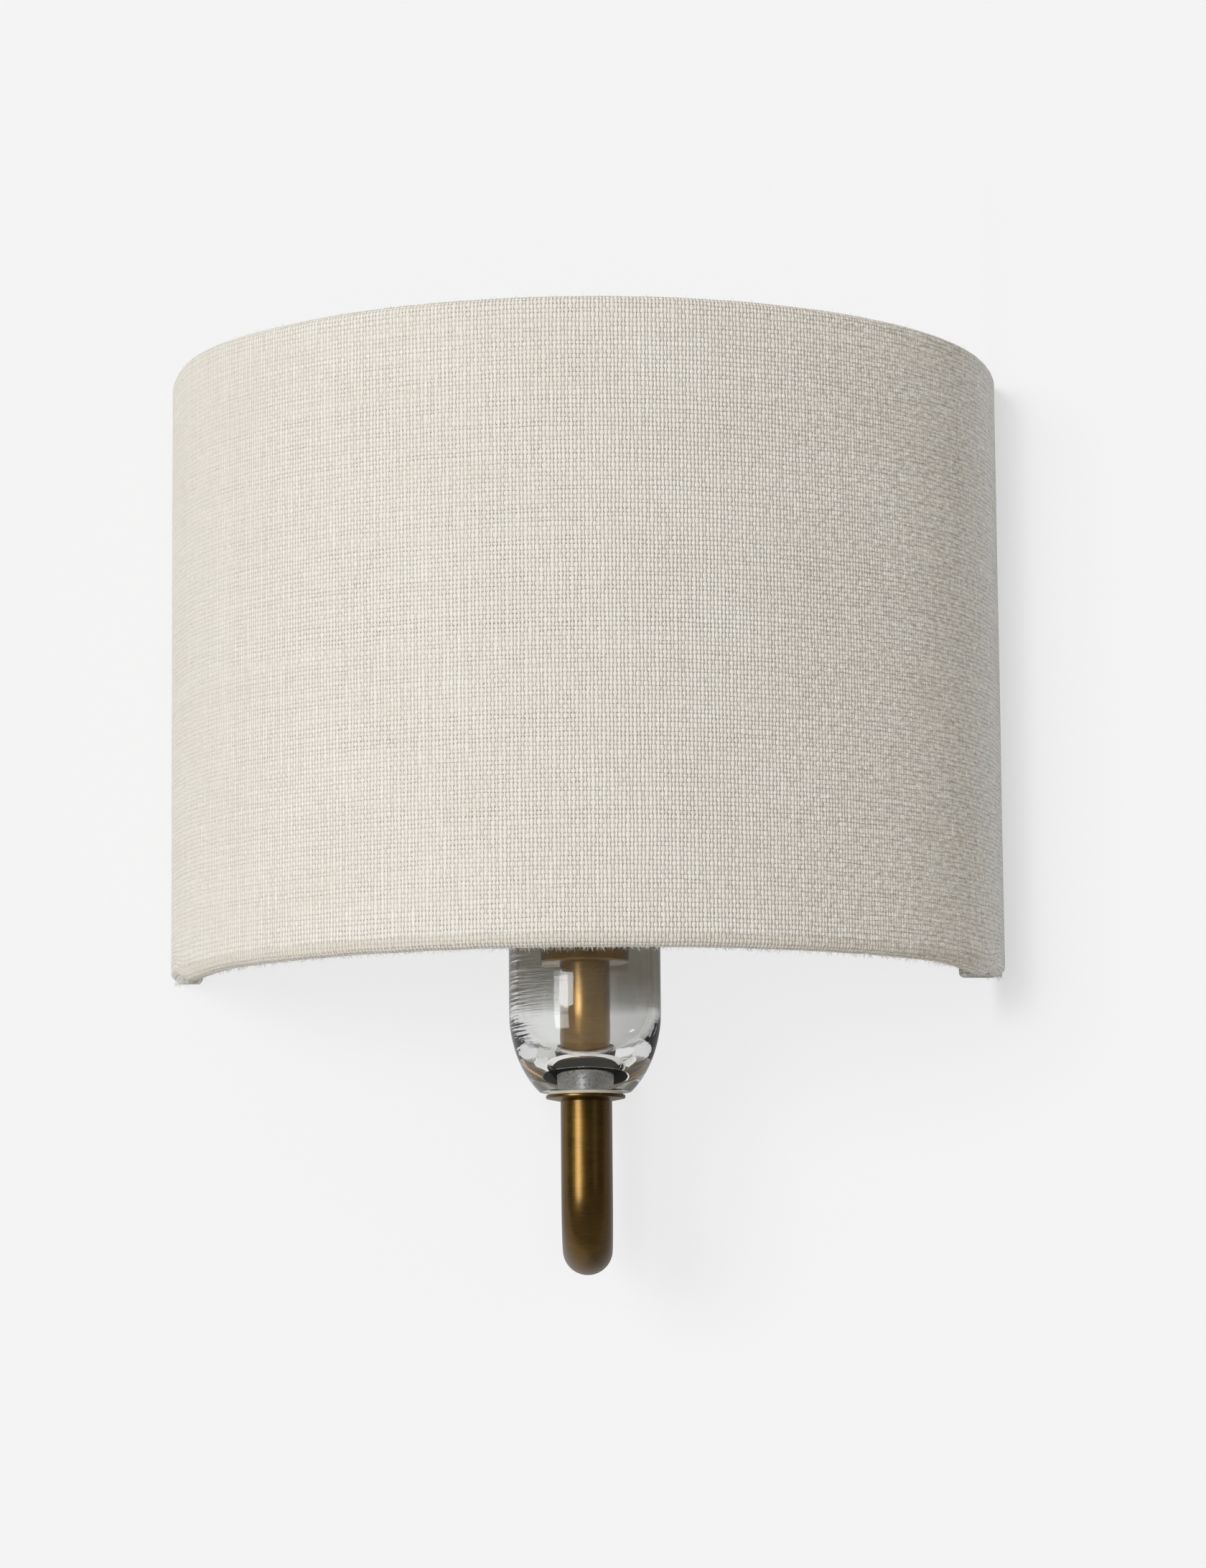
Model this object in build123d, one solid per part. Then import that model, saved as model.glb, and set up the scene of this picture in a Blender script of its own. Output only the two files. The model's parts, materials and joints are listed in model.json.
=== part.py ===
from build123d import *
import math
import os

# Half-round wall light: a linen shade on a wire frame, held over a clear glass cup by a J-shaped brass arm.
# Millimetres. The origin is on the wall, at the middle of the mounting bar. +Z is up, and the light stands
# out of the wall towards -Y. Heights written as "above_hem" are counted from the shade's lower edge.

# ---- Overall layout ----
shade_radius = 165.1          # outside of the linen, a 13 inch wide half drum
shade_height = 241.3          # 9.5 inches
shade_wall_gap = 4.0          # air between the shade's two back edges and the wall
plate_above_hem = 110.0       # middle of the wall plate above the shade's lower edge
lamp_reach = 90.0             # wall to the axis of the glass, socket and bulb
arm_bottom_below_hem = 117.0  # lowest point of the arm's bend below the shade's lower edge
disc_below_hem = 49.8         # top of the brass disc below the shade's lower edge

# ---- Arm tube ----
arm_diameter = 19.0
arm_wall = 1.2
arm_bend_radius = 23.0
arm_straight_at_plate = 6.0   # level length of the arm between its elbow and the plate
plug_fit = 0.05               # gap round a plug pressed into the arm
front_plug_length = 14.0
back_plug_length = 5.5

# ---- Threaded tube that pulls the stack together ----
nipple_diameter = 10.0
nipple_bore = 7.0
nipple_engagement = 12.0      # length screwed into the front plug
thread_gap = 0.05
nut_across_corners = 17.0
nut_thickness = 3.5
nipple_past_nut = 1.2

# ---- Glass cup and what holds it ----
disc_radius = 15.05
disc_rim_thickness = 1.3
disc_dish = 1.1               # how far the disc's underside drops from rim to arm
gasket_radius = 14.2
gasket_thickness = 1.0
glass_radius = 28.8
glass_wall = 3.2
glass_height = 80.0
glass_floor = 10.7
glass_hole_radius = 7.5
glass_round_height = 38.0     # half height of the ellipse that rounds the outside of the base
glass_round_above_base = 30.5
glass_well_height = 24.0      # half height of the ellipse that rounds the inside
glass_lip_round = 1.4
glass_foot_round = 1.6
bowl_steps = 4                # points that carry the curve of the rounded base
washer_radius = 11.2
washer_thickness = 1.5
washer_edge_gap = 0.4         # flat of the glass floor that shows round the washer
sleeve_diameter = 19.0
sleeve_wall = 1.2
sleeve_length = 36.7

# ---- Lampholder ----
cup_diameter = 33.4
cup_wall = 0.9
cup_floor = 1.5
cup_height = 38.0
wire_room = 12.0              # space over the nut for the leads
holder_gap = 0.15
holder_flange_radius = 18.6
holder_flange_thickness = 3.0
holder_neck_radius = 16.4
holder_neck_height = 15.5
holder_floor = 6.0
shell_radius = 14.0
shell_thickness = 0.6
shell_length = 27.0
contact_width = 7.0
contact_thickness = 0.6
contact_rise = 2.0
terminal_spacing = 16.0
terminal_radius = 2.6
terminal_height = 1.6
lead_socket_depth = 2.0

# ---- Shade frame ----
fabric_thickness = 1.1
liner_thickness = 0.8
hem_width = 7.0
hem_height = 7.0
hem_corner = 3.2
frame_wire_radius = 2.2
wire_gap = 0.1
left_return_width = 12.0      # linen turned in along the wall at each end
right_return_width = 18.0
spider_end_inset = 6.0        # where the side wires meet the end bars, in from the shade's edge
end_bar_thickness = 2.4
return_corner = 2.0
front_rod_radius = 1.8
front_rod_gap = 0.1           # air between the front rod and the liner
fitter_radius = 24.0
fitter_thickness = 2.0
fitter_gap = 0.3
spider_wire_radius = 1.6
ring_nut_radius = 21.5
ring_nut_height = 8.0
ring_nut_gap = 0.08
ring_nut_seat = 0.1
ring_grip_count = 24
ring_grip_radius = 0.9

# ---- Bulb ----
bulb_radius = 30.0
bulb_neck_radius = 13.3
bulb_glass_thickness = 0.8
bulb_neck_to_middle = 50.0
bulb_cap_radius = 13.1
bulb_cap_height = 25.0
bulb_cap_wall = 0.4
bulb_thread_depth = 0.6
bulb_thread_pitch = 3.629
bulb_thread_turns = 5
bulb_tip_radius = 4.6
bulb_tip_height = 1.6
bulb_tip_gap = 0.2
bulb_insulator_height = 3.0
bulb_stem_below_neck = 1.0
bulb_stem_radius = 8.0
bulb_stem_height = 34.0
bulb_stem_tip_radius = 2.2
filament_radius = 0.9
filament_spread = 7.0
filament_height = 30.0
filament_count = 4

# ---- Wall plate ----
bar_end_gap = 4.8             # air between the mounting bar's ends and the plate's rim
plate_depth = 18.0
plate_thickness = 1.2
plate_shoulder = 6.0
plate_hole_gap = 0.3
collar_radius = 13.5
collar_length = 4.0
collar_gap = 0.1
lock_washer_radius = 10.0
lock_washer_thickness = 1.0
bar_length = 104.0
bar_width = 22.0
bar_thickness = 2.5
box_slot_spacing = 79.4
box_slot_length = 13.7
box_slot_radius = 2.1
supply_hole_radius = 7.0
stud_spacing = 50.8
stud_radius = 2.0
stud_gap = 0.06
stud_in_nut = 5.0
stud_end_gap = 0.8
cap_nut_radius = 5.0
cap_nut_height = 8.5
cap_nut_seat = 0.1
knurl_count = 20
knurl_radius = 0.45
ground_screw_offset = 14.5
ground_head_radius = 3.6
ground_head_height = 2.2
ground_shank_radius = 2.0
ground_slot_width = 1.0

# ---- Leads ----
lead_radius = 1.0
lead_spacing = 2.2
lead_turn_radius = 4.0
lead_spread_at_plate = 12.0
lead_height_at_plate = 6.0    # leads above the wall inside the plate
lead_rise_at_plate = 15.0
lead_in_cap = 5.0
wire_cap_radius = 4.4
wire_cap_length = 17.0
wire_cap_tip_radius = 2.6

# ---- Heights and places that follow from the sizes above ----
hem_z = -plate_above_hem
arm_radius = arm_diameter / 2
lamp_y = -lamp_reach
back_leg_y = lamp_y + 2 * arm_bend_radius
bend_middle_y = lamp_y + arm_bend_radius
bend_axis_z = hem_z - arm_bottom_below_hem + arm_radius
bend_start_z = bend_axis_z + arm_bend_radius
arm_elbow_radius = -back_leg_y - plate_depth - arm_straight_at_plate
plate_face_y = -plate_depth
plate_radius = bar_length / 2 + bar_end_gap + plate_thickness

disc_top_z = hem_z - disc_below_hem
arm_top_z = disc_top_z - disc_rim_thickness - disc_dish
glass_base_z = disc_top_z + gasket_thickness
glass_floor_z = glass_base_z + glass_floor
sleeve_base_z = glass_floor_z + washer_thickness
cup_base_z = sleeve_base_z + sleeve_length
cup_floor_z = cup_base_z + cup_floor
cup_top_z = cup_base_z + cup_height
nut_top_z = cup_floor_z + nut_thickness
nipple_base_z = arm_top_z - nipple_engagement
nipple_top_z = nut_top_z + nipple_past_nut
holder_base_z = nut_top_z + wire_room
holder_shoulder_z = cup_top_z + holder_flange_thickness
holder_top_z = holder_shoulder_z + holder_neck_height
shell_base_z = holder_base_z + holder_floor
fitter_top_z = holder_shoulder_z + fitter_thickness
bulb_tip_z = shell_base_z + contact_thickness + contact_rise + bulb_tip_gap
bulb_cap_z = bulb_tip_z + bulb_tip_height + bulb_insulator_height
bulb_neck_z = bulb_cap_z + bulb_cap_height

frame_ring_radius = shade_radius - hem_width / 2
frame_ring_height = hem_height / 2
return_depth = 2 * fabric_thickness + end_bar_thickness
end_bar_face = fabric_thickness + end_bar_thickness
liner_radius = shade_radius - fabric_thickness
front_rod_place = liner_radius - liner_thickness - front_rod_gap - front_rod_radius


def to_lamp(shape):
    """Carry a shape made round the Z axis onto the axis of the glass and bulb."""
    return Pos(0, lamp_y, 0) * shape


def to_shade(shape):
    """Carry a shape made with its lower edge at zero and its back edges on the X axis to the shade's place."""
    return Pos(0, -shade_wall_gap, hem_z) * shape


def off_wall(shape):
    """Turn a shape so that its +Z points out of the wall, with +Y turned up."""
    return Rot(90, 0, 0) * shape


def ring(outer, inner, low, high):
    """A flat-ended ring round the Z axis."""
    return Pos(0, 0, low) * extrude(Circle(outer) - Circle(inner), high - low)


def disc(radius, low, high):
    """A plain round bar round the Z axis."""
    return Pos(0, 0, low) * extrude(Circle(radius), high - low)


def cone(low_radius, high_radius, low, height):
    """A cone, or part of one, round the Z axis."""
    return Pos(0, 0, low) * Cone(low_radius, high_radius, height, align=(Align.CENTER, Align.CENTER, Align.MIN))


def turned(outline):
    """Turn a closed outline of (radius, height) edges about the Z axis."""
    edges = [edge for piece in outline for edge in piece.edges()]
    return revolve(Plane.XZ * make_face(edges), Axis.Z)


def bowl_curve(middle_z, radius, height, sweep):
    """The side of a rounded base: from an angle below the middle up to the straight wall, along an ellipse."""
    path = EllipticalCenterArc((0, middle_z), radius, height, -sweep, arc_size=sweep)
    points = [path @ (step / bowl_steps) for step in range(bowl_steps + 1)]
    return Spline(points, tangents=[path % 0, path % 1])


def rod(start, end, radius):
    """A round bar between two points."""
    line = Line(start, end)
    return sweep(Plane(origin=line @ 0, z_dir=line % 0) * Circle(radius), path=line)


def pipe(edges, section):
    """Run a section along a list of edges that join end to end."""
    path = Wire([edge for piece in edges for edge in piece.edges()])
    return sweep(Plane(origin=path @ 0, z_dir=path % 0) * section, path=path)


def arm_route(x, top_z, end_y):
    """The arm's centre line at one x: down the front leg, round the bend, up the back leg and in to the wall."""
    front_top = (x, lamp_y, top_z)
    front_low = (x, lamp_y, bend_start_z)
    bend_low = (x, bend_middle_y, bend_axis_z)
    back_low = (x, back_leg_y, bend_start_z)
    back_top = (x, back_leg_y, -arm_elbow_radius)
    elbow_side = arm_elbow_radius * math.sqrt(0.5)
    elbow_middle = (x, back_leg_y + arm_elbow_radius - elbow_side, elbow_side - arm_elbow_radius)
    elbow_end = (x, back_leg_y + arm_elbow_radius, 0)
    return [
        Line(front_top, front_low),
        ThreePointArc(front_low, bend_low, back_low),
        Line(back_low, back_top),
        ThreePointArc(back_top, elbow_middle, elbow_end),
        Line(elbow_end, (x, end_y, 0)),
    ]


def arm_pieces():
    bore = arm_radius - arm_wall
    plug_radius = bore - plug_fit
    nipple_hole = nipple_diameter / 2 + thread_gap
    tube = pipe(arm_route(0, arm_top_z, plate_face_y), Circle(arm_radius) - Circle(bore))
    front_plug = to_lamp(ring(plug_radius, nipple_hole, arm_top_z - front_plug_length, arm_top_z))
    back_plug = off_wall(ring(plug_radius, nipple_hole, plate_depth, plate_depth + back_plug_length))
    collar = ring(collar_radius, arm_radius + collar_gap, plate_depth, plate_depth + collar_length)
    outer_edge = collar.edges().filter_by(GeomType.CIRCLE).sort_by(Axis.Z)[-2:].sort_by(SortBy.RADIUS)[-1]
    collar = off_wall(fillet(outer_edge, collar_length / 3))
    return {
        "arm_tube": tube,
        "arm_front_plug": front_plug,
        "arm_back_plug": back_plug,
        "arm_collar": collar,
    }


def hex_nut(low, high):
    """A hexagonal nut for the threaded tubes."""
    blank = RegularPolygon(nut_across_corners / 2, 6) - Circle(nipple_diameter / 2 + thread_gap)
    return Pos(0, 0, low) * extrude(blank, high - low)


def glass_cup():
    """A thick cup of clear glass: straight sides, an elliptical base inside and out, a hole for the thread."""
    top_z = glass_base_z + glass_height
    middle_z = glass_base_z + glass_round_above_base
    foot_angle = math.asin(glass_round_above_base / glass_round_height)
    foot_radius = glass_radius * math.cos(foot_angle)
    sweep_angle = math.degrees(foot_angle)
    well_radius = glass_radius - glass_wall
    floor_radius = washer_radius + washer_edge_gap
    floor_angle = math.acos(floor_radius / well_radius)
    well_z = glass_floor_z + glass_well_height * math.sin(floor_angle)
    well_sweep = math.degrees(floor_angle)
    outside = bowl_curve(middle_z, glass_radius, glass_round_height, sweep_angle)
    inside = bowl_curve(well_z, well_radius, glass_well_height, well_sweep)
    rim = Polyline((glass_radius, middle_z), (glass_radius, top_z), (well_radius, top_z), (well_radius, well_z))
    foot = Polyline(
        (floor_radius, glass_floor_z),
        (glass_hole_radius, glass_floor_z),
        (glass_hole_radius, glass_base_z),
        (foot_radius, glass_base_z),
    )
    body = turned([outside, rim, inside, foot])
    lip = body.edges().filter_by(GeomType.CIRCLE).group_by(Axis.Z)[-1]
    body = fillet(lip, glass_lip_round)
    foot_edges = body.edges().filter_by(GeomType.CIRCLE).group_by(Axis.Z)[0]
    return fillet(foot_edges.sort_by(SortBy.RADIUS)[-1], glass_foot_round)


def glass_disc():
    """The brass disc under the glass: flat on top, its underside sloping down to the arm."""
    rim_z = disc_top_z - disc_rim_thickness
    edge_round = disc_rim_thickness * 0.35
    hole = nipple_diameter / 2 + plate_hole_gap
    outline = Polyline(
        (hole, disc_top_z),
        (disc_radius, disc_top_z),
        (disc_radius, rim_z),
        (arm_radius, arm_top_z),
        (hole, arm_top_z),
        close=True,
    )
    body = turned([outline])
    rim = body.edges().filter_by(GeomType.CIRCLE).sort_by(SortBy.RADIUS)[-2:]
    return fillet(rim, edge_round)


def glass_pieces():
    nipple_radius = nipple_diameter / 2
    gasket_hole = nipple_radius + plate_hole_gap
    sleeve_radius = sleeve_diameter / 2
    sleeve = ring(sleeve_radius, sleeve_radius - sleeve_wall, sleeve_base_z, cup_base_z)
    return {
        "glass_disc": to_lamp(glass_disc()),
        "glass_lower_gasket": to_lamp(ring(gasket_radius, gasket_hole, disc_top_z, glass_base_z)),
        "glass_cup": to_lamp(glass_cup()),
        "glass_upper_washer": to_lamp(ring(washer_radius, gasket_hole, glass_floor_z, sleeve_base_z)),
        "glass_sleeve": to_lamp(sleeve),
        "front_nipple": to_lamp(ring(nipple_radius, nipple_bore / 2, nipple_base_z, nipple_top_z)),
        "front_nut": to_lamp(hex_nut(cup_floor_z, nut_top_z)),
    }


def holder_body():
    """The moulded lampholder: a plug in the brass cup, a flange on its rim and a threaded neck above."""
    bore = shell_radius + holder_gap
    plug_radius = cup_diameter / 2 - cup_wall - holder_gap
    body = disc(plug_radius, holder_base_z, cup_top_z)
    body += disc(holder_flange_radius, cup_top_z, holder_shoulder_z)
    body += disc(holder_neck_radius, holder_shoulder_z, holder_top_z)
    body -= disc(bore, shell_base_z, holder_top_z)
    for side in (-1, 1):
        hole = disc(lead_radius + thread_gap, holder_base_z, holder_base_z + lead_socket_depth)
        body -= Pos(side * terminal_spacing / 2, 0, 0) * hole
    return body


def screw_shell():
    """The brass screw shell, with a turned-in foot and rolled ridges for the bulb's thread."""
    inner = shell_radius - shell_thickness
    ridge = shell_thickness * 0.5
    foot = shell_radius * 0.6
    top_z = shell_base_z + shell_length
    body = ring(shell_radius, inner, shell_base_z, top_z)
    body += ring(shell_radius, foot, shell_base_z, shell_base_z + shell_thickness)
    for turn in range(bulb_thread_turns):
        z = top_z - (turn + 1) * bulb_thread_pitch
        body -= ring(inner + ridge, foot, z - bulb_thread_pitch / 4, z + bulb_thread_pitch / 4)
    return body


def centre_contact():
    """The springy tongue under the bulb's tip: a flat foot and a raised pad joined by a slope."""
    half = contact_width / 2
    low = shell_base_z
    high = low + contact_rise
    outline = Polyline(
        (-half, low),
        (half, low),
        (half, low + contact_thickness),
        (half * 0.4, low + contact_thickness),
        (half * 0.4, high + contact_thickness),
        (-half * 0.6, high + contact_thickness),
        (-half * 0.6, high),
        (half * 0.4 - contact_thickness, high),
        (half * 0.4 - contact_thickness, low + contact_thickness),
        (-half, low + contact_thickness),
        close=True,
    )
    return extrude(Plane.XZ * make_face(outline), contact_width / 4, both=True)


def holder_pieces():
    cup_radius = cup_diameter / 2
    cup = disc(cup_radius, cup_base_z, cup_top_z)
    cup -= disc(cup_radius - cup_wall, cup_floor_z, cup_top_z)
    cup -= disc(nipple_diameter / 2 + plate_hole_gap, cup_base_z, cup_floor_z)
    lower_edge = cup.edges().filter_by(GeomType.CIRCLE).sort_by(Axis.Z)[:2].sort_by(SortBy.RADIUS)[-1]
    cup = fillet(lower_edge, cup_floor * 0.6)
    terminals = []
    for side in (-1, 1):
        head = disc(terminal_radius, holder_base_z - terminal_height, holder_base_z)
        head -= disc(lead_radius, holder_base_z - terminal_height, holder_base_z)
        terminals.append(Pos(side * terminal_spacing / 2, 0, 0) * head)
    return {
        "holder_cup": to_lamp(cup),
        "holder_body": to_lamp(holder_body()),
        "holder_screw_shell": to_lamp(screw_shell()),
        "holder_centre_contact": to_lamp(centre_contact()),
        "holder_terminals": to_lamp(Compound(terminals)),
    }


def half_turn(section):
    """Sweep a section of (radius, height) through the half circle on the room's side of the shade's back edge."""
    return Rot(0, 0, 180) * revolve(Plane.XZ * section, Axis.Z, 180)


def half_shell(outer, inner, low, high):
    """A thin half cylinder between two heights, open towards the wall."""
    room_side = Pos(0, -outer) * Rectangle(2 * outer, 2 * outer)
    return Pos(0, 0, low) * extrude((Circle(outer) - Circle(inner)) & room_side, high - low)


def frame_ring(height, radius):
    """One half ring of the wire frame, cut off where it meets the end bars."""
    wire = half_turn(Pos(frame_ring_radius, height) * Circle(radius))
    span = 2 * shade_radius + 2 * hem_width
    behind_bars = Pos(0, 0, height) * Box(span, 2 * end_bar_face, 4 * radius)
    return wire - behind_bars


def return_width(side):
    """Width of the linen turned in at the left or the right end."""
    return left_return_width if side < 0 else right_return_width


def end_bar(side, gap):
    """The flat bar at one back edge of the shade."""
    width = return_width(side) - 2 * fabric_thickness
    low = frame_ring_height - frame_wire_radius - gap
    high = shade_height - low
    x = side * (shade_radius - return_width(side) / 2)
    y = -(fabric_thickness + end_bar_thickness / 2)
    middle_z = (low + high) / 2
    return Pos(x, y, middle_z) * Box(width + 2 * gap, end_bar_thickness + 2 * gap, high - low)


def spider_place():
    """Height of the spider wires above the shade's lower edge."""
    return holder_shoulder_z + fitter_thickness / 2 - hem_z


def spider_wires(radius):
    """Three straight wires from the fitter ring to the two end bars and the front rod, in the shade's frame."""
    height = spider_place()
    middle = (0, lamp_y + shade_wall_gap, height)
    bar_x = shade_radius - spider_end_inset
    ends = [(side * bar_x, -end_bar_face, height) for side in (-1, 1)]
    ends.append((0, -(front_rod_place - front_rod_radius), height))
    hub = Pos(*middle) * Cylinder(fitter_radius, 4 * fitter_thickness + 4 * radius)
    behind_bars = Pos(0, 0, height) * Box(2 * shade_radius, 2 * end_bar_face, 8 * radius)
    wires = []
    for end in ends:
        wires.append(rod(middle, end, radius) - hub - behind_bars)
    return wires


def shade_fabric():
    """The linen skin with its rolled hems and the edges turned in round the end bars."""
    half_hem = hem_height / 2
    hem_place = shade_radius - hem_width / 2
    hem = RectangleRounded(hem_width, hem_height, hem_corner)
    cloth = half_shell(shade_radius, shade_radius - fabric_thickness, half_hem, shade_height - half_hem)
    for height in (half_hem, shade_height - half_hem):
        cloth += half_turn(Pos(hem_place, height) * hem)
    for side in (-1, 1):
        x = side * (shade_radius - return_width(side) / 2)
        wrap = Box(return_width(side), return_depth, shade_height)
        wrap = fillet(wrap.edges().filter_by(Axis.Y), return_corner)
        cloth += Pos(x, -return_depth / 2, shade_height / 2) * wrap
    for height in (frame_ring_height, shade_height - frame_ring_height):
        cloth -= frame_ring(height, frame_wire_radius + wire_gap)
    for side in (-1, 1):
        cloth -= end_bar(side, wire_gap)
    cloth -= front_rod(front_rod_radius + wire_gap)
    for wire in spider_wires(spider_wire_radius + wire_gap):
        cloth -= wire
    return cloth


def front_rod(radius):
    """The upright rod at the front of the frame, between the two half rings."""
    low = frame_ring_height + frame_wire_radius * 0.5
    high = shade_height - low
    return Pos(0, -front_rod_place, 0) * disc(radius, low, high)


def shade_pieces():
    rings = [frame_ring(h, frame_wire_radius) for h in (frame_ring_height, shade_height - frame_ring_height)]
    upright = front_rod(front_rod_radius) - rings[0] - rings[1]
    liner = half_shell(liner_radius, liner_radius - liner_thickness, hem_height, shade_height - hem_height)
    for side in (-1, 1):
        x = side * (shade_radius - return_width(side) / 2)
        liner -= Pos(x, -return_depth / 2, shade_height / 2) * Box(return_width(side), return_depth, shade_height)
    fitter = ring(fitter_radius, holder_neck_radius + fitter_gap, holder_shoulder_z, fitter_top_z)
    wires = spider_wires(spider_wire_radius)
    return {
        "shade_fabric": to_shade(shade_fabric()),
        "shade_liner": to_shade(liner),
        "shade_bottom_wire": to_shade(rings[0]),
        "shade_top_wire": to_shade(rings[1]),
        "shade_left_bar": to_shade(end_bar(-1, 0)),
        "shade_right_bar": to_shade(end_bar(1, 0)),
        "shade_front_rod": to_shade(upright),
        "shade_fitter_ring": to_lamp(fitter),
        "shade_spider_wires": to_shade(Compound(wires)),
    }


def ring_nut():
    """The ring that screws down on the lampholder's neck and clamps the shade, with finger grips."""
    low = fitter_top_z + ring_nut_seat
    high = low + ring_nut_height
    body = ring(ring_nut_radius, holder_neck_radius + ring_nut_gap, low, high)
    for number in range(ring_grip_count):
        grip = Pos(ring_nut_radius + ring_grip_radius / 3, 0, 0) * disc(ring_grip_radius, low, high)
        body -= Rot(0, 0, number * 360 / ring_grip_count) * grip
    return body


def bulb_outline(shrink, low_z):
    """Outline of the bulb from its neck: a cone that runs smoothly into a ball."""
    ball = bulb_radius - shrink
    neck = bulb_neck_radius - shrink
    middle_z = bulb_neck_z + bulb_neck_to_middle
    reach = math.hypot(neck, middle_z - bulb_neck_z)
    down = math.atan2(bulb_neck_z - middle_z, neck)
    touch = down + math.acos(ball / reach)
    touch_point = (ball * math.cos(touch), middle_z + ball * math.sin(touch))
    side = (touch + math.pi / 2) / 2
    side_point = (ball * math.cos(side), middle_z + ball * math.sin(side))
    top = (0, middle_z + ball)
    return [
        Line((0, low_z), (neck, low_z)),
        Polyline((neck, low_z), (neck, bulb_neck_z), touch_point) if low_z < bulb_neck_z
        else Line((neck, low_z), touch_point),
        ThreePointArc(touch_point, side_point, top),
        Line(top, (0, low_z)),
    ]


def bulb_pieces():
    cap_inside = bulb_cap_radius - bulb_thread_depth - bulb_cap_wall
    cap = ring(bulb_cap_radius, cap_inside, bulb_cap_z, bulb_neck_z)
    cap += ring(bulb_cap_radius, bulb_tip_radius + bulb_thread_depth, bulb_cap_z, bulb_cap_z + bulb_cap_wall)
    for turn in range(bulb_thread_turns):
        z = bulb_cap_z + (turn + 1) * bulb_thread_pitch
        low = z - bulb_thread_pitch / 4
        high = z + bulb_thread_pitch / 4
        cap -= ring(2 * bulb_cap_radius, bulb_cap_radius - bulb_thread_depth, low, high)
    insulator_z = bulb_tip_z + bulb_tip_height
    insulator = cone(bulb_tip_radius, bulb_cap_radius * 0.8, insulator_z, bulb_insulator_height)
    tip = disc(bulb_tip_radius, bulb_tip_z, insulator_z)
    tip = fillet(tip.edges().sort_by(Axis.Z)[0], bulb_tip_height * 0.6)
    stem_base = bulb_neck_z - bulb_stem_below_neck
    envelope = turned(bulb_outline(0, bulb_neck_z)) - turned(bulb_outline(bulb_glass_thickness, stem_base))
    stem = cone(bulb_stem_radius, bulb_stem_tip_radius, stem_base, bulb_stem_height)
    stem += disc(bulb_neck_radius - bulb_glass_thickness, bulb_neck_z, bulb_neck_z + bulb_glass_thickness)
    filament_z = stem_base + bulb_stem_height
    cross = disc(filament_spread + 2 * filament_radius, filament_z, filament_z + 2 * filament_radius)
    threads = cross
    for number in range(filament_count):
        stick = Pos(filament_spread, 0, 0) * disc(filament_radius, filament_z, filament_z + filament_height)
        threads += Rot(0, 0, number * 360 / filament_count) * stick
    return {
        "bulb_glass": to_lamp(envelope),
        "bulb_cap": to_lamp(cap),
        "bulb_insulator": to_lamp(insulator),
        "bulb_tip": to_lamp(tip),
        "bulb_stem": to_lamp(stem),
        "bulb_filaments": to_lamp(threads),
    }


def wall_plate():
    """The spun brass plate: a shallow dish with a rounded shoulder, open towards the wall."""
    outside = disc(plate_radius, 0, plate_depth)
    outside = fillet(outside.edges().sort_by(Axis.Z)[-1], plate_shoulder)
    inside = disc(plate_radius - plate_thickness, 0, plate_depth - plate_thickness)
    inside = fillet(inside.edges().sort_by(Axis.Z)[-1], plate_shoulder - plate_thickness)
    body = outside - inside
    body -= disc(nipple_diameter / 2 + plate_hole_gap, 0, plate_depth)
    for side in (-1, 1):
        body -= Pos(side * stud_spacing / 2, 0, 0) * disc(stud_radius + plate_hole_gap, 0, plate_depth)
    return body


def mounting_bar():
    """The steel bar that screws to the wall box: two slots, two threaded holes and a hole for the supply."""
    blank = RectangleRounded(bar_length, bar_width, bar_width / 4)
    for side in (-1, 1):
        slot = SlotOverall(box_slot_length, 2 * box_slot_radius)
        blank -= Pos(side * box_slot_spacing / 2, 0) * slot
        blank -= Pos(side * stud_spacing / 2, 0) * Circle(stud_radius + stud_gap)
    blank -= Circle(supply_hole_radius)
    blank -= Pos(-ground_screw_offset, 0) * Circle(ground_shank_radius + stud_gap)
    return extrude(blank, bar_thickness)


def cap_nut(side):
    """A knurled, domed brass nut on one of the plate's studs."""
    low = plate_depth + cap_nut_seat
    body = disc(cap_nut_radius, low, low + cap_nut_height)
    body = fillet(body.edges().sort_by(Axis.Z)[-1], cap_nut_radius * 0.6)
    body -= disc(stud_radius + stud_gap, low, low + stud_in_nut + stud_end_gap)
    for number in range(knurl_count):
        groove = Pos(cap_nut_radius, 0, 0) * disc(knurl_radius, low, low + cap_nut_height)
        body -= Rot(0, 0, number * 360 / knurl_count) * groove
    return off_wall(Pos(side * stud_spacing / 2, 0, 0) * body)


def ground_screw():
    """A slotted screw in the bar for the earth wire."""
    top = bar_thickness + ground_head_height
    body = disc(ground_shank_radius, 0, bar_thickness) + disc(ground_head_radius, bar_thickness, top)
    body -= Pos(0, 0, top) * Box(2 * ground_head_radius, ground_slot_width, ground_head_height)
    return Pos(-ground_screw_offset, 0, 0) * body


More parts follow.
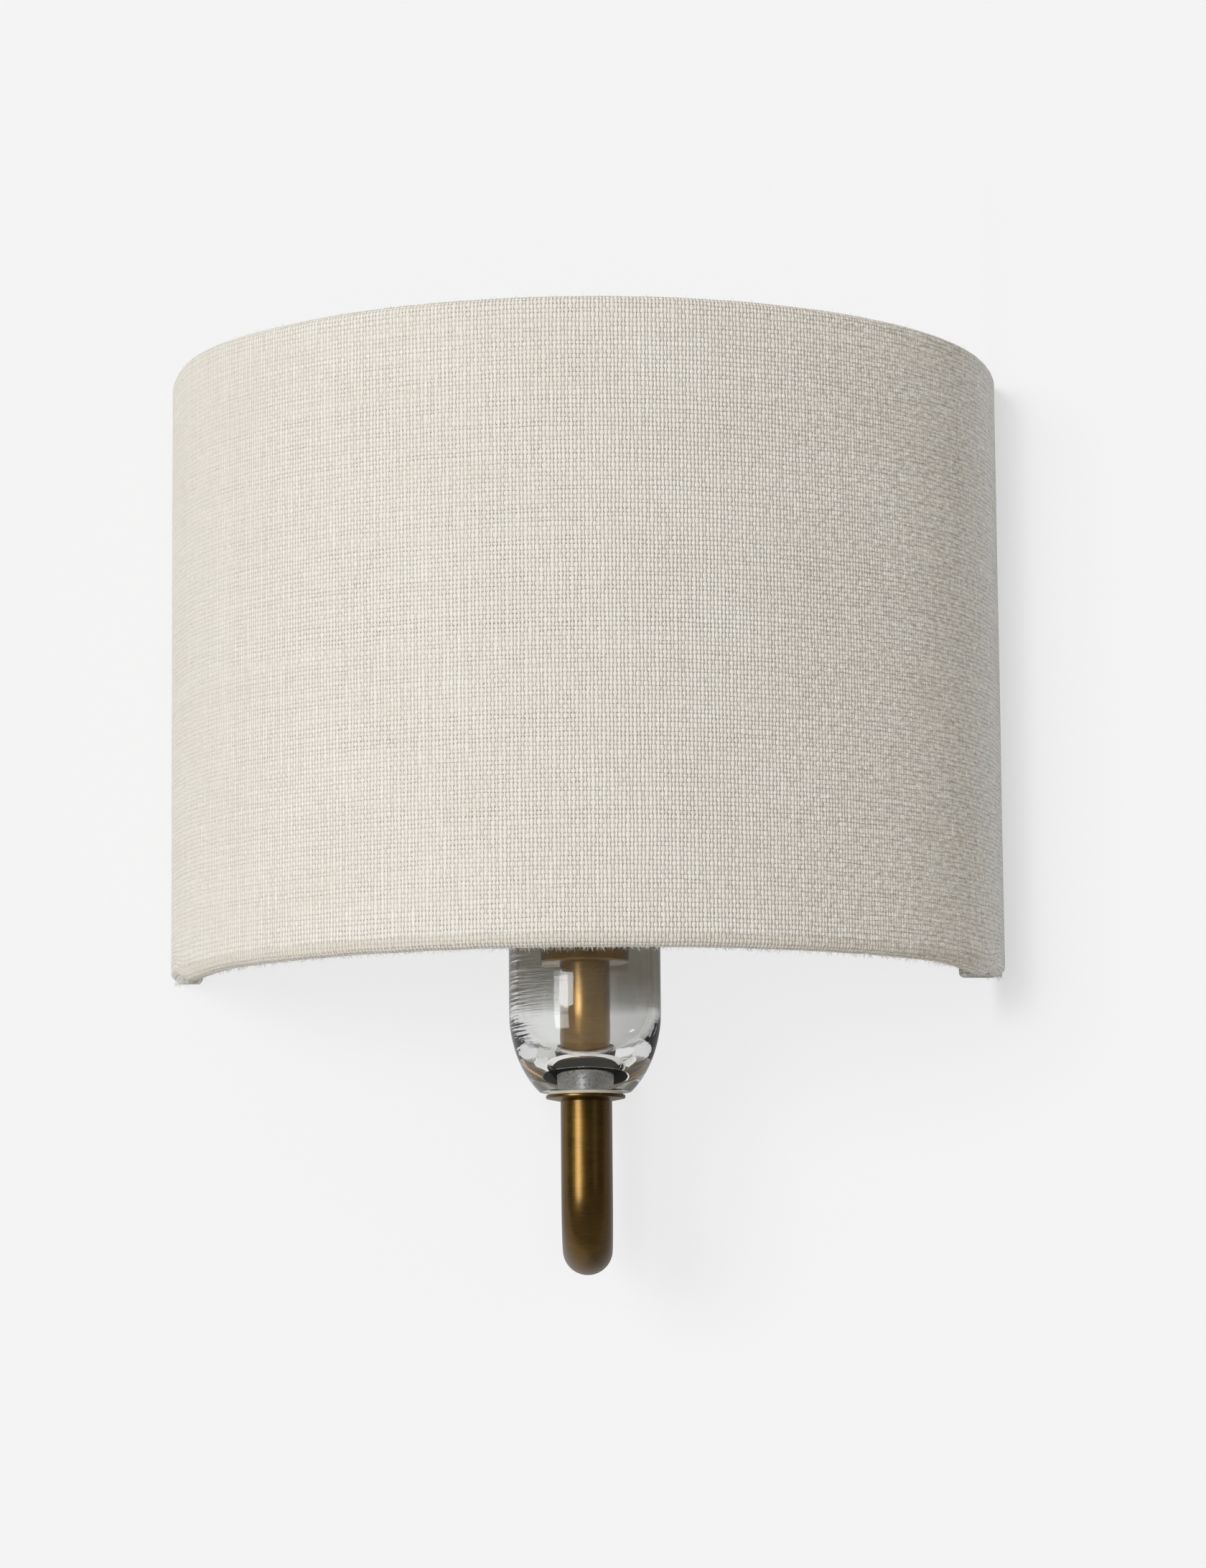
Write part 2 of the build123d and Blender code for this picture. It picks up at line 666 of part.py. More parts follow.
def plate_pieces():
    nipple_radius = nipple_diameter / 2
    inside_face = plate_depth - plate_thickness
    washer_low = inside_face - lock_washer_thickness
    nut_low = washer_low - nut_thickness
    nipple = ring(nipple_radius, nipple_bore / 2, nut_low - nipple_past_nut, plate_depth + back_plug_length)
    washer = ring(lock_washer_radius, nipple_radius + plate_hole_gap, washer_low, inside_face)
    stud_length = plate_depth + cap_nut_seat + stud_in_nut
    studs = [Pos(side * stud_spacing / 2, 0, 0) * disc(stud_radius, 0, stud_length) for side in (-1, 1)]
    return {
        "wall_plate": off_wall(wall_plate()),
        "mounting_bar": off_wall(mounting_bar()),
        "plate_studs": off_wall(Compound(studs)),
        "cap_nut_left": cap_nut(-1),
        "cap_nut_right": cap_nut(1),
        "ground_screw": off_wall(ground_screw()),
        "back_nipple": off_wall(nipple),
        "back_nut": off_wall(hex_nut(nut_low, washer_low)),
        "lock_washer": off_wall(washer),
    }


def lead(side):
    """One insulated conductor: holder terminal, threaded tube, arm, plate, wire cap."""
    x = side * lead_spacing / 2
    terminal_x = side * terminal_spacing / 2
    plate_y = -lead_height_at_plate
    cap_x = side * lead_spread_at_plate / 2
    bend_z = nipple_top_z + lead_turn_radius
    route = arm_route(x, nipple_base_z, plate_face_y)
    top = FilletPolyline(
        (terminal_x, lamp_y, holder_base_z + lead_socket_depth),
        (terminal_x, lamp_y, holder_base_z - lead_turn_radius),
        (x, lamp_y, bend_z),
        (x, lamp_y, nipple_base_z),
        radius=lead_turn_radius / 2,
    )
    end = FilletPolyline(
        (x, plate_face_y, 0),
        (x, plate_y, 0),
        (cap_x, plate_y, lead_rise_at_plate - lead_turn_radius),
        (cap_x, plate_y, lead_rise_at_plate + lead_in_cap),
        radius=lead_turn_radius / 2,
    )
    return pipe([top, *route, end], Circle(lead_radius))


def wire_cap(side):
    """A tapered plastic cap that joins one lead to the supply."""
    low = lead_rise_at_plate
    body = cone(wire_cap_radius, wire_cap_tip_radius, 0, wire_cap_length)
    body -= disc(lead_radius + thread_gap, 0, lead_in_cap + thread_gap)
    return Pos(side * lead_spread_at_plate / 2, -lead_height_at_plate, low) * body


def lead_pieces():
    return {
        "lead_live": lead(-1),
        "lead_neutral": lead(1),
        "wire_caps": Compound([wire_cap(-1), wire_cap(1)]),
    }


def build():
    pieces = {}
    pieces.update(plate_pieces())
    pieces.update(arm_pieces())
    pieces.update(glass_pieces())
    pieces.update(holder_pieces())
    pieces.update(shade_pieces())
    pieces["shade_ring_nut"] = to_lamp(ring_nut())
    pieces.update(bulb_pieces())
    pieces.update(lead_pieces())
    os.makedirs("parts", exist_ok=True)
    for name, shape in pieces.items():
        export_step(shape, f"parts/{name}.step")


build()
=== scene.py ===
import json
import math
import random

import bpy
import numpy as np
from mathutils import Matrix, Vector, noise


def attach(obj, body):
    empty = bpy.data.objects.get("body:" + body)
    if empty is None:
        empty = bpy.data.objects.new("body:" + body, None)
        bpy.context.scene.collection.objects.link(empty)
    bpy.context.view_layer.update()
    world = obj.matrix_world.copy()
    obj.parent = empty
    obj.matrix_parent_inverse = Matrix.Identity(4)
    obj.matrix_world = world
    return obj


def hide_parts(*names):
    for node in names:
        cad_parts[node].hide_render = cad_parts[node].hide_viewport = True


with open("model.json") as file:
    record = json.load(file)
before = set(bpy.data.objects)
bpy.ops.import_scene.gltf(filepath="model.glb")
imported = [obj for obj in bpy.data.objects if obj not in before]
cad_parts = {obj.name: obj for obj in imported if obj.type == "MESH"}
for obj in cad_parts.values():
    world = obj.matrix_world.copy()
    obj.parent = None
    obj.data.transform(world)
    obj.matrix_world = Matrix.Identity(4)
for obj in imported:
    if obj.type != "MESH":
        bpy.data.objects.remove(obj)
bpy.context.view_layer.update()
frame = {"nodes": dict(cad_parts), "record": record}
random.seed(41)

# The half-round wall light. Frame in metres, +Z up, the wall at y = 0, the light stands out towards -Y.
MM = 0.001

# The shade
SHADE_R = 165.1 * MM
SHADE_H = 241.3 * MM
SHADE_Y = -4.0 * MM                 # its open back, off the wall
HEM_Z = -110.0 * MM
HEM = 7.0 * MM                      # height and depth of a rolled hem
ROLL = 3.2 * MM                     # radius of the cloth round a hem wire
SKIN = 1.05 * MM                    # thickness of the cloth
CLEAR = 0.05 * MM                   # what the cloth keeps inside the CAD radius
RETURN_DEPTH = 4.6 * MM             # the turned-in back edges, round the end bars
RETURN_WIDTH = {-1: 12.0 * MM, 1: 18.0 * MM}
RETURN_EDGE = 1.1 * MM              # radius of their long edges
RETURN_ROUND = 2.0 * MM             # radius of their ends
RETURN_BACK = 0.06 * MM             # how far they stand behind the skin's own end face
END_PITCH = 1.42 * MM               # from one upright yarn to the next
PICK_PITCH = 1.70 * MM              # from one cross yarn to the next

# How the hand-rolled hem strays from a straight one
HEM_SAG = 0.9 * MM                  # the lower edge hangs this much lower along the front
END_SAG = (1.7 * MM, 2.4 * MM)      # and this much more towards its left and right end
END_LIFT = (1.5 * MM, 1.15 * MM)    # but stands higher at the very ends
CREST = 0.55 * MM                   # the top edge stands higher
LEFT_CREST = 0.9 * MM               # and higher still towards its left end
CORNER = 4.0 * MM                   # radius of the lower corners
HEM_REACH = 2.5 * HEM               # height over which sag, lift and crest fade out

# Loose fibres
HEM_HAIRS = 1700
SKIN_HAIRS = 900

# The glass
LAMP_Y = -90.0 * MM
GLASS_BORE = 7.6 * MM
GLASS_FLOOR_Z = HEM_Z - 38.1 * MM

# Camera and light
PHOTO_HEIGHT = 2185                 # pixels
FOCAL_LENGTH = 6917.95              # pixels
CAMERA_PLACE = (0.030161, -1.969566, -0.286368)
CAMERA_PITCH, CAMERA_YAW, CAMERA_ROLL = (math.radians(v) for v in (7.436, -0.689, -0.482))
BACKGROUND = 0.905                  # the wall's white in the picture
WALL_GAP = 0.4 * MM
WALL_HALF = 6.0                     # metres
WALL_IN_SHADE = 0.857               # colour of the share of the wall that takes real shadow
WALL_BOUNCE = 0.88                  # colour of the wall for light that reaches other things
# Painted shade: the wall seen through the glass is darker close to the shade.
WALL_SHADE_IN_GLASS = 0.36                # colour of the wall seen through the glass close to the shade
KEY_YAW, KEY_HEIGHT, KEY_ANGLE = (math.radians(v) for v in (-29, 9, 24))
KEY_ENERGY = 2.0
DAYLIGHT = 0.50
LIGHT_IN_GLASS = 0.20               # what glass gets on top of it
SOFTBOXES = (                       # left, right, low and high edge in degrees, strength
    (-47, -23, 0.4, 27, 8.5),
    (34, 52, 0, 40, 0.5),
    (-47, -23, -15, 1.2, 8.0),
)
SOFTBOX_EDGE = 2.5                  # degrees
STUDIO_GREY = (0.8, 0.8, 0.8)       # colour of what metal and glass mirror


# ------------------------------------------------------------------ camera
def camera():
    """The photograph's viewpoint: slightly below the light, looking up at it."""
    flat = math.cos(CAMERA_PITCH)
    ahead = Vector((math.sin(CAMERA_YAW) * flat, math.cos(CAMERA_YAW) * flat, math.sin(CAMERA_PITCH)))
    side = Vector((math.cos(CAMERA_YAW), -math.sin(CAMERA_YAW), 0))
    up = side.cross(ahead)
    right = math.cos(CAMERA_ROLL) * side + math.sin(CAMERA_ROLL) * up
    top = -math.sin(CAMERA_ROLL) * side + math.cos(CAMERA_ROLL) * up
    data = bpy.data.cameras.new("camera")
    data.sensor_fit = "VERTICAL"
    data.sensor_height = 36.0
    data.lens = FOCAL_LENGTH / PHOTO_HEIGHT * data.sensor_height
    data.clip_end = 30
    obj = bpy.data.objects.new("camera", data)
    bpy.context.scene.collection.objects.link(obj)
    turn = Matrix((right, top, -ahead)).transposed().to_4x4()
    obj.matrix_world = Matrix.Translation(CAMERA_PLACE) @ turn
    bpy.context.scene.camera = obj


# ------------------------------------------------------------------ shader helpers
class Shader:
    """A procedural material, or the nodes of a world, with short calls for the nodes it is made of."""

    def __init__(self, name, kind="Material"):
        self.mat = (bpy.data.worlds if kind == "World" else bpy.data.materials).new(name)
        self.mat.use_nodes = True
        self.tree = self.mat.node_tree
        self.nodes = self.tree.nodes
        self.bsdf = self.nodes.get("Principled BSDF")
        self.output = self.nodes[kind + " Output"]

    def put(self, socket, value):
        """Link a socket, or set a plain value on it."""
        if isinstance(value, bpy.types.NodeSocket):
            self.tree.links.new(value, socket)
        elif hasattr(value, "__len__") and len(value) == 3 and socket.type == "RGBA":
            socket.default_value = (*value, 1)
        else:
            socket.default_value = value

    def set(self, **values):
        for key, value in values.items():
            self.put(self.bsdf.inputs[key.replace("_", " ")], value)

    def math(self, operation, a, b=0.0, c=0.0):
        node = self.nodes.new("ShaderNodeMath")
        node.operation = operation
        for socket, value in zip(node.inputs, (a, b, c)):
            self.put(socket, value)
        return node.outputs[0]

    def times(self, first, *others):
        for other in others:
            first = self.math("MULTIPLY", first, other)
        return first

    def rest(self, value):
        return self.math("SUBTRACT", 1.0, value)

    def around(self, value, scale, middle):
        """A noise that lies round a half, moved and scaled to lie round another value."""
        return self.math("MULTIPLY_ADD", self.math("SUBTRACT", value, 0.5), scale, middle)

    def vec(self, operation, a, b=(0, 0, 0)):
        node = self.nodes.new("ShaderNodeVectorMath")
        node.operation = operation
        self.put(node.inputs[0], a)
        self.put(node.inputs[1], b)
        return node.outputs["Value" if operation == "LENGTH" else "Vector"]

    def combine(self, x=0.0, y=0.0, z=0.0):
        node = self.nodes.new("ShaderNodeCombineXYZ")
        for socket, value in zip(node.inputs, (x, y, z)):
            self.put(socket, value)
        return node.outputs[0]

    def split(self, vector):
        node = self.nodes.new("ShaderNodeSeparateXYZ")
        self.put(node.inputs[0], vector)
        return node.outputs

    def place(self):
        """The point in the object's own frame."""
        return self.nodes.new("ShaderNodeTexCoord").outputs["Object"]

    def noise(self, vector, scale, detail=2.0, rough=0.5, distort=0.0):
        node = self.nodes.new("ShaderNodeTexNoise")
        self.put(node.inputs["Vector"], vector)
        self.put(node.inputs["Scale"], scale)
        self.put(node.inputs["Detail"], detail)
        self.put(node.inputs["Roughness"], rough)
        self.put(node.inputs["Distortion"], distort)
        return node.outputs[0]

    def white(self, value):
        node = self.nodes.new("ShaderNodeTexWhiteNoise")
        node.noise_dimensions = "1D"
        self.put(node.inputs["W"], value)
        return node.outputs["Value"]

    def cells(self, vector, scale):
        node = self.nodes.new("ShaderNodeTexVoronoi")
        self.put(node.inputs["Vector"], vector)
        self.put(node.inputs["Scale"], scale)
        return node.outputs["Distance"]

    def fit(self, value, low, high, to_low=0.0, to_high=1.0, smooth=False):
        node = self.nodes.new("ShaderNodeMapRange")
        node.clamp = True
        if smooth:
            node.interpolation_type = "SMOOTHSTEP"
        for socket, item in zip(node.inputs, (value, low, high, to_low, to_high)):
            self.put(socket, item)
        return node.outputs[0]

    def mix(self, factor, a, b, blend="MIX"):
        node = self.nodes.new("ShaderNodeMix")
        node.data_type = "RGBA"
        node.blend_type = blend
        self.put(node.inputs[0], factor)
        self.put(node.inputs[6], a)
        self.put(node.inputs[7], b)
        return node.outputs[2]

    def tinted(self, base, colour):
        return self.mix(1.0, base, colour, "MULTIPLY")

    def either(self, factor, first, second):
        """The first shader where the factor is 0, the second where it is 1."""
        node = self.nodes.new("ShaderNodeMixShader")
        for socket, value in zip(node.inputs, (factor, first, second)):
            self.put(socket, value)
        return node.outputs[0]

    def rays(self):
        return self.nodes.new("ShaderNodeLightPath").outputs

    def bump(self, height, distance, strength=1.0, normal=None):
        node = self.nodes.new("ShaderNodeBump")
        self.put(node.inputs["Height"], height)
        self.put(node.inputs["Distance"], distance)
        self.put(node.inputs["Strength"], strength)
        if normal is not None:
            self.put(node.inputs["Normal"], normal)
        return node.outputs[0]

    def stretch(self, x=1.0, y=1.0, z=1.0):
        return self.vec("MULTIPLY", self.place(), (x, y, z))


# ------------------------------------------------------------------ materials
def linen():
    """Plain weave of coarse uneven yarns. The UV map holds real lengths: across the ends, and along them."""
    s = Shader("linen")
    uv = s.nodes.new("ShaderNodeUVMap")
    uv.uv_map = "cloth"
    flat = uv.outputs[0]
    u, v, _ = s.split(flat)

    def drift(across, along):
        """Noise with so many turns to the metre, across the upright yarns and along them."""
        return s.noise(s.vec("MULTIPLY", flat, (across, along, 1)), 1.0, 2.0)

    # Which upright yarn (end) and which cross yarn (pick) lies here, and where in it
    wander = s.math("SUBTRACT", drift(420, 60), 0.5)
    sway = s.math("SUBTRACT", drift(50, 420), 0.5)
    a = s.math("DIVIDE", s.math("MULTIPLY_ADD", wander, 1.1 * MM, u), END_PITCH)
    b = s.math("DIVIDE", s.math("MULTIPLY_ADD", sway, 1.4 * MM, v), PICK_PITCH)
    end, pick = s.math("FLOOR", a), s.math("FLOOR", b)
    across = s.math("SUBTRACT", s.math("FRACT", a), 0.5)
    along = s.math("SUBTRACT", s.math("FRACT", b), 0.5)
    end_kind = s.white(end)
    pick_kind = s.white(s.math("ADD", pick, 7013.0))
    end_slub = s.noise(s.combine(s.math("MULTIPLY", end, 3.7), s.math("MULTIPLY", v, 150.0)), 1.0, 1.0)
    pick_slub = s.noise(s.combine(s.math("MULTIPLY", u, 150.0), s.math("MULTIPLY", pick, 4.3)), 1.0, 1.0)
    end_width = s.math("ADD", s.math("MULTIPLY_ADD", end_kind, 0.16, 0.62), s.math("MULTIPLY", end_slub, 0.36))
    pick_width = s.math("ADD", s.math("MULTIPLY_ADD", pick_kind, 0.20, 0.74), s.math("MULTIPLY", pick_slub, 0.44))

    def crown(offset, width):
        """The round back of a yarn: 1 on its middle line, 0 at its edge."""
        share = s.math("DIVIDE", s.math("ABSOLUTE", offset), s.math("MULTIPLY", width, 0.5))
        return s.math("MAXIMUM", s.rest(s.math("MULTIPLY", share, share)), 0.0)

    def over_under(place, other):
        """The wave of a yarn over one crossing yarn and under the next."""
        return s.math("COSINE", s.times(s.math("ADD", s.math("SUBTRACT", place, 0.5), other), math.pi))

    def sunk(level, back):
        """Outside its back a yarn drops out of sight."""
        return s.math("MULTIPLY_ADD", s.math("ADD", level, 1.0), s.fit(back, 0.0, 0.25), -1.0)

    end_round, pick_round = crown(across, end_width), crown(along, pick_width)
    end_wave = s.math("MULTIPLY_ADD", over_under(b, end), 0.22, 0.14)
    pick_wave = s.math("MULTIPLY_ADD", over_under(a, pick), -0.26, 0.04)
    end_level = s.math("ADD", end_wave, s.math("MULTIPLY", end_round, 0.50))
    pick_level = s.math("ADD", pick_wave, s.math("MULTIPLY", pick_round, 0.36))
    # The ends sink between the cross yarns, more towards the right end: this deepens the relief and the painted shade
    # between the yarns.
    furrow = s.times(along, along, s.fit(u, -60 * MM, 170 * MM, -0.2, -1.5))
    end_high = sunk(s.math("ADD", end_level, furrow), end_round)
    pick_high = sunk(pick_level, pick_round)
    level = s.math("MAXIMUM", end_high, pick_high)
    on_top = s.math("GREATER_THAN", end_high, pick_high)
    fuzz = s.noise(s.vec("MULTIPLY", flat, (1500, 900, 1)), 1.0, 3.0, 0.6)
    height = s.math("MULTIPLY_ADD", fuzz, 0.16, level)
    height = s.math("MULTIPLY_ADD", drift(270, 400), s.fit(u, 60 * MM, 170 * MM, 0.5, 3.6), height)

    # Colour: a slow change, single dark and pale yarns, streaks, and painted shade between the yarns
    tone = s.fit(s.noise(flat, 26.0, 3.0, 0.55), 0.3, 0.7)
    base = s.mix(tone, (0.846, 0.802, 0.722), (0.876, 0.841, 0.770))
    yarn = s.math("ADD", s.times(end_kind, on_top), s.times(pick_kind, s.rest(on_top)))
    base = s.mix(s.math("MULTIPLY", s.fit(yarn, 0.86, 1.0), 0.34), base, (0.74, 0.68, 0.58))
    base = s.mix(s.math("MULTIPLY", s.fit(yarn, 0.14, 0.0), 0.5), base, (0.91, 0.895, 0.85))
    streak = drift(900, 70)
    base = s.mix(s.fit(streak, 0.56, 0.76, 0.0, 0.5), base, (0.86, 0.77, 0.69))
    base = s.mix(s.fit(streak, 0.36, 0.20, 0.0, 0.30), base, (0.76, 0.80, 0.75))
    under = s.tinted(base, (0.93, 0.92, 0.90))
    base = s.mix(s.math("MULTIPLY_ADD", on_top, -0.9, 0.9), base, under)
    # Painted shade: the cloth darkens where the weave sinks, between and beside the yarns.
    gap_shade = s.tinted(base, (0.62, 0.54, 0.44))
    colour = s.mix(s.fit(level, -0.7, 0.50, smooth=True), gap_shade, base)

    # Painted light and shade: flecks of painted shade and painted highlight that grow towards the right end, painted
    # shade along the rolled hem, and painted light on the right end and the turned-in corners
    # Flecks of painted shade and painted highlight, as raking light gives, stronger towards the right end.
    fleck = s.fit(drift(300, 520), 0.30, 0.70)
    fleck_shade = s.tinted(colour, (0.84, 0.81, 0.76))
    fleck_highlight = s.tinted(colour, (1.13, 1.13, 1.13))
    colour = s.mix(s.fit(u, 40 * MM, 165 * MM, 0.08, 1.0), colour, s.mix(fleck, fleck_shade, fleck_highlight))
    _, out, low = s.split(s.place())
    # Painted shade along the rounded underside of the rolled hem, left off near the back edges.
    rolled = s.fit(s.math("MULTIPLY_ADD", sway, 3.0 * MM, low), HEM_Z + 4.8 * MM, HEM_Z + 3.2 * MM)
    rolled = s.math("MULTIPLY", rolled, s.fit(out, -14 * MM, -30 * MM))
    colour = s.mix(rolled, colour, s.tinted(colour, (0.885, 0.87, 0.85)))
    # Painted light: the pale colour below lightens the right end and the turned-in corners.
    pale = (0.95, 0.92, 0.86)
    # Painted light towards the right end.
    colour = s.mix(s.fit(u, 180 * MM, 216 * MM, 0.0, 0.8), colour, pale)
    # Painted light on the turned-in corners near the wall, low down, which lie in shade.
    turned = s.math("MULTIPLY", s.fit(out, -14 * MM, -10 * MM), s.fit(low, HEM_Z + 8 * MM, HEM_Z + 3 * MM))
    colour = s.mix(s.math("MULTIPLY", turned, 0.8), colour, pale)
    s.set(Base_Color=colour, Roughness=0.92, Specular_IOR_Level=0.12)
    # The sheen rises towards the right end: painted light there.
    s.set(Sheen_Weight=s.fit(u, 176 * MM, 216 * MM, 0.15, 0.55), Sheen_Roughness=0.4)
    s.set(Normal=s.bump(height, 1.05 * MM, 1.0))
    return s.mat


def fibre():
    """The loose fibres, a little paler than the cloth."""
    s = Shader("linen_fibre")
    tone = s.noise(s.place(), 900.0, 1.0)
    s.set(Base_Color=s.mix(tone, (0.70, 0.66, 0.58), (0.90, 0.87, 0.81)), Roughness=0.9, Specular_IOR_Level=0.1)
    return s.mat


def brass(name, dark, light, patina, rough, grain=1.0, coat=0.0):
    """Aged brass: mottled brown patina, fine turned grain and small specks."""
    s = Shader(name)
    here = s.place()
    cloud = s.noise(here, 55.0, 5.0, 0.62, 0.4)
    fine = s.noise(s.stretch(260, 260, 3600), 1.0, 3.0, 0.6)
    speck = s.noise(here, 1500.0, 2.0, 0.7)
    tone = s.math("ADD", s.math("MULTIPLY", cloud, 0.6), s.math("MULTIPLY", fine, 0.4))
    colour = s.mix(s.fit(tone, 0.36, 0.66), dark, light)
    colour = s.mix(s.fit(cloud, 0.60, 0.74, 0.0, 0.45), colour, patina)
    colour = s.mix(s.fit(speck, 0.66, 0.80, 0.0, 0.55), colour, dark)
    wear = s.around(cloud, 0.16, s.around(fine, 0.22 * grain, rough))
    s.set(Base_Color=colour, Metallic=1.0, Roughness=wear)
    height = s.math("ADD", s.math("MULTIPLY", fine, 0.7), s.math("MULTIPLY", speck, 0.5))
    s.set(Normal=s.bump(height, 0.012 * MM * grain, 0.6))
    s.set(Coat_Weight=coat, Coat_Roughness=0.26)
    return s.mat


def clear_glass():
    """Thick hand-blown glass: slow ripples, faint pull lines, a ground hole through the base."""
    s = Shader("clear_glass")
    here = s.place()
    x, y, z = s.split(here)
    out = s.vec("LENGTH", s.combine(x, s.math("SUBTRACT", y, LAMP_Y), 0.0))
    ground = s.times(s.fit(out, GLASS_BORE + 0.3 * MM, GLASS_BORE), s.fit(z, GLASS_FLOOR_Z + 0.4 * MM, GLASS_FLOOR_Z))
    pits = s.noise(here, 1100.0, 3.0, 0.7)
    ripple = s.noise(s.stretch(1, 1, 1.6), 40.0, 1.0, 0.4, 0.3)
    rings = s.noise(s.stretch(30, 30, 700), 1.0, 2.0, 0.5, 0.3)
    pulled = s.times(s.fit(x, -6 * MM, -20 * MM, 0.1, smooth=True),
                     s.fit(z, HEM_Z - 34 * MM, HEM_Z - 20 * MM, 0.1, smooth=True))
    height = s.math("ADD", ripple, s.times(rings, pulled, 1.5))
    smooth = s.bump(height, 0.30 * MM, 0.5)
    s.set(Normal=s.bump(s.math("MULTIPLY", pits, ground), 0.35 * MM, 1.0, smooth))
    bubble = s.fit(s.cells(here, 620.0), 0.30, 0.42)
    s.set(Base_Color=s.mix(ground, (0.975, 0.985, 0.98), s.mix(bubble, (0.42, 0.40, 0.37), (0.93, 0.93, 0.92))))
    s.set(Roughness=s.fit(ground, 0.0, 1.0, 0.015, 0.42), Transmission_Weight=1.0, IOR=1.5)
    clear = s.nodes.new("ShaderNodeBsdfTransparent")
    s.put(clear.inputs[0], (0.90, 0.91, 0.90))
    in_shadow = s.math("MULTIPLY", s.rays()["Is Shadow Ray"], 0.85)
    s.put(s.output.inputs[0], s.either(in_shadow, s.bsdf.outputs[0], clear.outputs[0]))
    return s.mat


def bulb_glass():
    """Frosted glass."""
    s = Shader("bulb_glass")
    here = s.place()
    frost = s.noise(here, 1400.0, 2.0, 0.6)
    cloud = s.noise(here, 35.0, 2.0)
    s.set(Base_Color=s.mix(cloud, (0.90, 0.89, 0.86), (0.95, 0.94, 0.92)), Transmission_Weight=0.45)
    s.set(Roughness=s.fit(frost, 0.3, 0.7, 0.34, 0.46), Normal=s.bump(frost, 0.01 * MM, 0.5))
    s.set(IOR=1.48)
    return s.mat


def metal(name, dark, light, rough, scale=900.0, grain=(1, 1, 1)):
    """Plated or painted metal with a fine grain."""
    s = Shader(name)
    fine = s.noise(s.stretch(*grain), scale, 3.0, 0.6)
    cloud = s.noise(s.place(), 60.0, 3.0)
    s.set(Base_Color=s.mix(s.math("MULTIPLY", s.math("ADD", fine, cloud), 0.5), dark, light), Metallic=1.0)
    s.set(Roughness=s.around(fine, 0.24, rough))
    s.set(Normal=s.bump(fine, 0.01 * MM, 0.5))
    return s.mat


def plain(name, dark, light, rough, scale, depth, coat=0.0):
    """Plastic, rubber, enamel or ceramic, with its own fine texture."""
    s = Shader(name)
    here = s.place()
    fine = s.noise(here, scale, 3.0, 0.6)
    cloud = s.noise(here, 48.0, 3.0)
    tone = s.math("ADD", s.math("MULTIPLY", fine, 0.45), s.math("MULTIPLY", cloud, 0.55))
    s.set(Base_Color=s.mix(s.fit(tone, 0.35, 0.65), dark, light))
    s.set(Roughness=s.around(cloud, 0.10, rough))
    s.set(Normal=s.bump(fine, depth, 0.6))
    if coat:
        s.set(Coat_Weight=coat, Coat_Roughness=0.12)
    return s.mat


MATERIALS = {
    "aged_brass": brass("aged_brass", (0.125, 0.064, 0.011), (0.250, 0.140, 0.026), (0.090, 0.048, 0.010), 0.34,
                        coat=0.45),
    "bright_brass": brass("bright_brass", (0.50, 0.34, 0.13), (0.68, 0.49, 0.21), (0.42, 0.27, 0.11), 0.28, 0.6),
    "zinc_steel": metal("zinc_steel", (0.38, 0.39, 0.40), (0.60, 0.61, 0.62), 0.38),
    "liner": plain("liner", (0.74, 0.72, 0.66), (0.82, 0.80, 0.74), 0.62, 1600.0, 0.02 * MM),
    "white_wire": plain("white_wire", (0.70, 0.69, 0.66), (0.80, 0.79, 0.76), 0.34, 520.0, 0.02 * MM, coat=0.2),
    "clear_glass": clear_glass(),
    "frosted_bulb": bulb_glass(),
    # The washers' rubber is coloured far paler than black: painted light, for the light that the glass keeps off
    # them.
    "black_rubber": plain("black_rubber", (0.46, 0.42, 0.36), (0.62, 0.58, 0.51), 0.55, 1800.0, 0.03 * MM),
    "black_phenolic": plain("black_phenolic", (0.014, 0.013, 0.012), (0.030, 0.028, 0.026), 0.36, 900.0, 0.01 * MM),
    "bulb_metal": metal("bulb_metal", (0.58, 0.58, 0.59), (0.78, 0.78, 0.79), 0.30, 700.0, (0.3, 0.3, 5)),
    "bulb_ceramic": plain("bulb_ceramic", (0.02, 0.02, 0.03), (0.06, 0.06, 0.08), 0.18, 400.0, 0.01 * MM, coat=0.5),
    "filament": plain("filament", (0.72, 0.52, 0.12), (0.85, 0.68, 0.24), 0.55, 2200.0, 0.02 * MM),
    "black_lead": plain("black_lead", (0.015, 0.015, 0.015), (0.035, 0.035, 0.035), 0.42, 800.0, 0.01 * MM),
    "white_lead": plain("white_lead", (0.72, 0.72, 0.70), (0.82, 0.82, 0.80), 0.42, 800.0, 0.01 * MM),
    "cap_plastic": plain("cap_plastic", (0.62, 0.30, 0.04), (0.78, 0.42, 0.08), 0.40, 700.0, 0.02 * MM),
    "ground_green": metal("ground_green", (0.04, 0.16, 0.06), (0.08, 0.28, 0.12), 0.34),
}


def dress_nodes():
    """Every carried-over CAD node gets the material of its slot. The linen is made as a piece of its own."""
    slots = {part["node"]: part["material_slot"] for part in frame["record"]["subparts"]}
    for name, obj in frame["nodes"].items():
        material = MATERIALS.get(slots[name])
        if material is None:
            continue
        if not obj.data.materials:
            obj.data.materials.append(material)
        for index in range(len(obj.material_slots)):
            obj.material_slots[index].material = material


